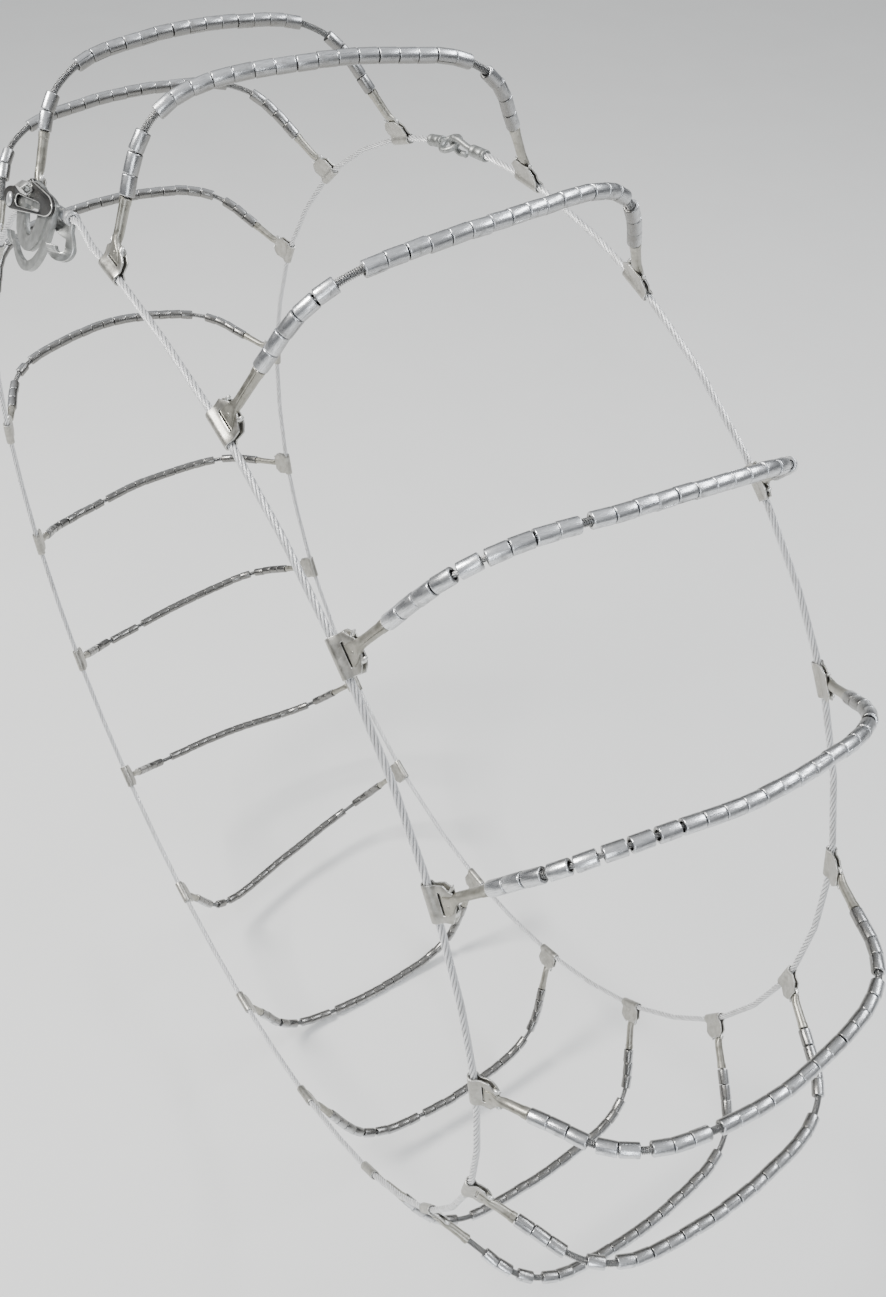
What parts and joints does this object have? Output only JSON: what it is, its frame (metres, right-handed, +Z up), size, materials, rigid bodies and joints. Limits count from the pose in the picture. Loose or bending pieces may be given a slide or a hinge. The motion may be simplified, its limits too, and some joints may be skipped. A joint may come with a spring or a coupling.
{
  "type": "tire snow chains",
  "caption": "Cable-type snow chain for a truck tire: two side cables joined by rows of steel sleeves on wire rope, with end clamps and a cam tightener.",
  "frame": {"origin": "centre of the tire that the chain is fitted round, on the axle and halfway between the sidewalls", "axes": "+Y along the axle towards the inner side, +Z up, outer side with the cam tightener at -Y"},
  "size_m": [1.068, 0.3402, 1.0799],
  "materials": {
    "bright_steel": "bright zinc-plated steel with fine scratches",
    "zinc": "matte zinc-plated stamped steel",
    "wire_rope": "galvanised stranded wire rope",
    "dark_steel": "black oxide, satin",
    "light_casting": "dull galvanised steel"
  },
  "bodies": {
    "ladder": {"cross_member_01": "bright_steel", "cross_member_02": "bright_steel", "cross_member_03": "bright_steel", "cross_member_04": "bright_steel", "cross_member_05": "bright_steel", "cross_member_06": "bright_steel", "cross_member_07": "bright_steel", "cross_member_08": "bright_steel", "cross_member_09": "bright_steel", "cross_member_10": "bright_steel", "cross_member_11": "bright_steel", "cross_member_12": "bright_steel", "cross_member_13": "bright_steel", "cross_member_14": "bright_steel", "cross_member_15": "bright_steel", "cross_member_16": "bright_steel", "cross_member_17": "bright_steel", "cross_member_18": "bright_steel", "outer_clamp_01": "zinc", "outer_clamp_02": "zinc", "outer_clamp_03": "zinc", "outer_clamp_04": "zinc", "outer_clamp_05": "zinc", "outer_clamp_06": "zinc", "outer_clamp_07": "zinc", "outer_clamp_08": "zinc", "outer_clamp_09": "zinc", "outer_clamp_10": "zinc", "outer_clamp_11": "zinc", "outer_clamp_12": "zinc", "outer_clamp_13": "zinc", "outer_clamp_14": "zinc", "outer_clamp_15": "zinc", "outer_clamp_16": "zinc", "outer_clamp_17": "zinc", "outer_clamp_18": "zinc", "anchor_hook": "zinc", "outer_side_cable": "wire_rope", "inner_side_cable": "wire_rope", "anchor_rivet": "bright_steel", "link_plate": "dark_steel", "inner_hook": "light_casting", "inner_eye": "light_casting"},
    "cam": {"tightening_cam": "light_casting"},
    "take_up": {"take_up_hook": "zinc"},
    "sleeve_1": {"traction_sleeve_1": "bright_steel"},
    "sleeve_2": {"traction_sleeve_2": "bright_steel"},
    "sleeve_3": {"traction_sleeve_3": "bright_steel"},
    "sleeve_4": {"traction_sleeve_4": "bright_steel"},
    "sleeve_5": {"traction_sleeve_5": "bright_steel"},
    "sleeve_6": {"traction_sleeve_6": "bright_steel"},
    "sleeve_7": {"traction_sleeve_7": "bright_steel"},
    "sleeve_8": {"traction_sleeve_8": "bright_steel"}
  },
  "joints": [
    {"name": "cam_turn", "type": "hinge", "parent": "ladder", "child": "cam", "pos_m": [-0.12051, -0.14459, 0.43397], "axis": [-0.1074, -0.9034, 0.415], "range_deg": [0, 120]},
    {"name": "take_up_slide", "type": "slide", "parent": "ladder", "child": "take_up", "axis": [0.9807, -0.0276, 0.1937], "range_m": [0, 0.00601]},
    {"name": "sleeve_1_spin", "type": "hinge", "parent": "ladder", "child": "sleeve_1", "pos_m": [0.435, -0.11354, 0.26267], "axis": [0.5234, 0.6546, 0.5455], "continuous": true},
    {"name": "sleeve_2_spin", "type": "hinge", "parent": "ladder", "child": "sleeve_2", "pos_m": [0.44194, -0.10234, 0.26951], "axis": [0.403, 0.8364, 0.3716], "continuous": true},
    {"name": "sleeve_3_spin", "type": "hinge", "parent": "ladder", "child": "sleeve_3", "pos_m": [0.44752, -0.08858, 0.27399], "axis": [0.3132, 0.9284, 0.1999], "continuous": true},
    {"name": "sleeve_4_spin", "type": "hinge", "parent": "ladder", "child": "sleeve_4", "pos_m": [0.45137, -0.07449, 0.27586], "axis": [0.2093, 0.9764, 0.0529], "continuous": true},
    {"name": "sleeve_5_spin", "type": "hinge", "parent": "ladder", "child": "sleeve_5", "pos_m": [0.45427, -0.05908, 0.27595], "axis": [0.1626, 0.9861, -0.0352], "continuous": true},
    {"name": "sleeve_6_spin", "type": "hinge", "parent": "ladder", "child": "sleeve_6", "pos_m": [0.45661, -0.04439, 0.27516], "axis": [0.1533, 0.9857, -0.0693], "continuous": true},
    {"name": "sleeve_7_spin", "type": "hinge", "parent": "ladder", "child": "sleeve_7", "pos_m": [0.45855, -0.03137, 0.27418], "axis": [0.1402, 0.9871, -0.078], "continuous": true},
    {"name": "sleeve_8_spin", "type": "hinge", "parent": "ladder", "child": "sleeve_8", "pos_m": [0.46015, -0.01851, 0.27318], "axis": [0.1061, 0.9914, -0.0763], "continuous": true}
  ],
  "couplings": [
    {"joint": "take_up_slide", "follows": "cam_turn", "m_per_rad": 0.0028648}
  ]
}
